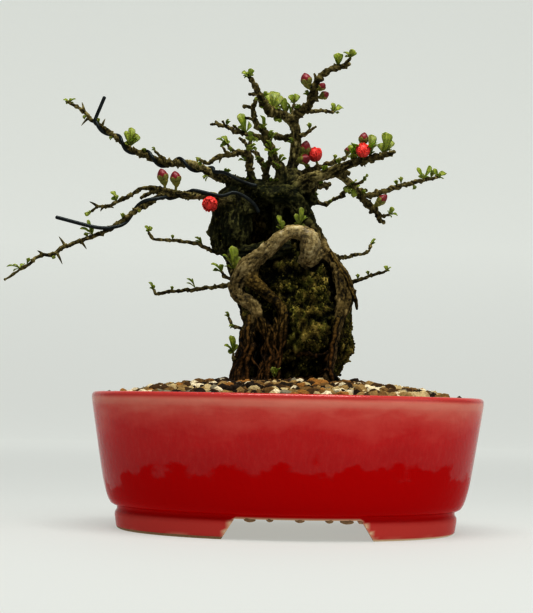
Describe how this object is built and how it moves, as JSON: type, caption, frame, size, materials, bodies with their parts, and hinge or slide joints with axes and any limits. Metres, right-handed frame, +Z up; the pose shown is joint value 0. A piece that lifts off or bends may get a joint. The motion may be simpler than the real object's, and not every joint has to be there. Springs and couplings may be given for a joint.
{
  "type": "japanese quince bonsai in a pot",
  "caption": "Flowering quince bonsai grown over a rock in gravel, with wired branches, leaf tufts, red buds and blooms, in an oval red-glazed pot on a cut foot ring.",
  "frame": {"origin": "middle of the whole part's box in plan, on the surface that the pot's foot ring stands on; the pot's own middle lies 21.7 mm to the right of it, because the long branches reach out to the left", "axes": "+Z up; +X to the right along the pot's length, seen from the front; +Y from the front to the back, the shortest extent"},
  "size_m": [0.2532, 0.1618, 0.257],
  "materials": {
    "glaze": "glossy red glaze, paler and pinker towards the rim, bare buff clay under the foot ring",
    "screen": "matt black plastic mesh",
    "gravel": "mixed tan, white, brown and dark grains of 2 to 5 mm",
    "rock": "rough olive brown stone with moss",
    "bark": "rough dark brown bark, paler and smoother on the exposed roots",
    "wire": "satin dark anodised wire",
    "leaf": "soft yellow green young leaves",
    "bud": "satin crimson closed petals",
    "petal": "soft coral red open petals"
  },
  "bodies": {
    "root": {"pot": "glaze", "drain_screen_left": "screen", "drain_screen_right": "screen", "soil": "gravel", "rock": "rock", "tree_wood": "bark", "wire_high": "wire", "wire_low": "wire", "leaves_high_tip": "leaf", "leaves_high_middle": "leaf", "leaves_low_tip": "leaf", "leaves_low_wire": "leaf", "leaves_low_side_tip": "leaf", "leaves_low_side_top": "leaf", "leaves_thin_top_tip": "leaf", "leaves_thin_low_tip": "leaf", "leaves_sprout_tall": "leaf", "leaves_sprout_left": "leaf", "leaves_sprout_low": "leaf", "leaves_right_twig": "leaf", "leaves_leader_top": "leaf", "leaves_upper_inner": "leaf", "leaves_upper_middle": "leaf", "leaves_upper_outer": "leaf", "leaves_far_tip": "leaf", "leaves_far_pair": "leaf", "leaves_right_stub": "leaf", "leaves_elbow": "leaf", "leaves_low_right": "leaf", "leaves_thin_right_top": "leaf", "leaves_thin_right_low": "leaf", "leaves_apex_left_tip": "leaf", "leaves_crown_back": "leaf", "leaves_crown_left": "leaf", "leaves_crown_middle": "leaf", "leaves_under_fork": "leaf", "leaves_inner_left": "leaf", "leaves_inner_middle": "leaf", "leaves_front_left": "leaf", "leaves_post": "leaf", "leaves_inner_low": "leaf", "leaves_front_base": "leaf", "leaves_inner_base": "leaf", "leaves_apex_tip": "leaf", "leaves_foot": "leaf", "leaves_hollow_left": "leaf", "leaves_hollow_right": "leaf", "bud_left_outer": "bud", "bud_left_inner": "bud", "bud_apex_left": "bud", "bud_apex_middle": "bud", "bud_apex_right": "bud", "bud_right_upper": "bud", "bud_right_lower": "bud", "bud_upper_tall": "bud", "bud_upper_small": "bud", "bud_low_right": "bud", "bloom_left": "petal", "bloom_right": "petal", "bloom_upper": "petal"}
  },
  "joints": []
}
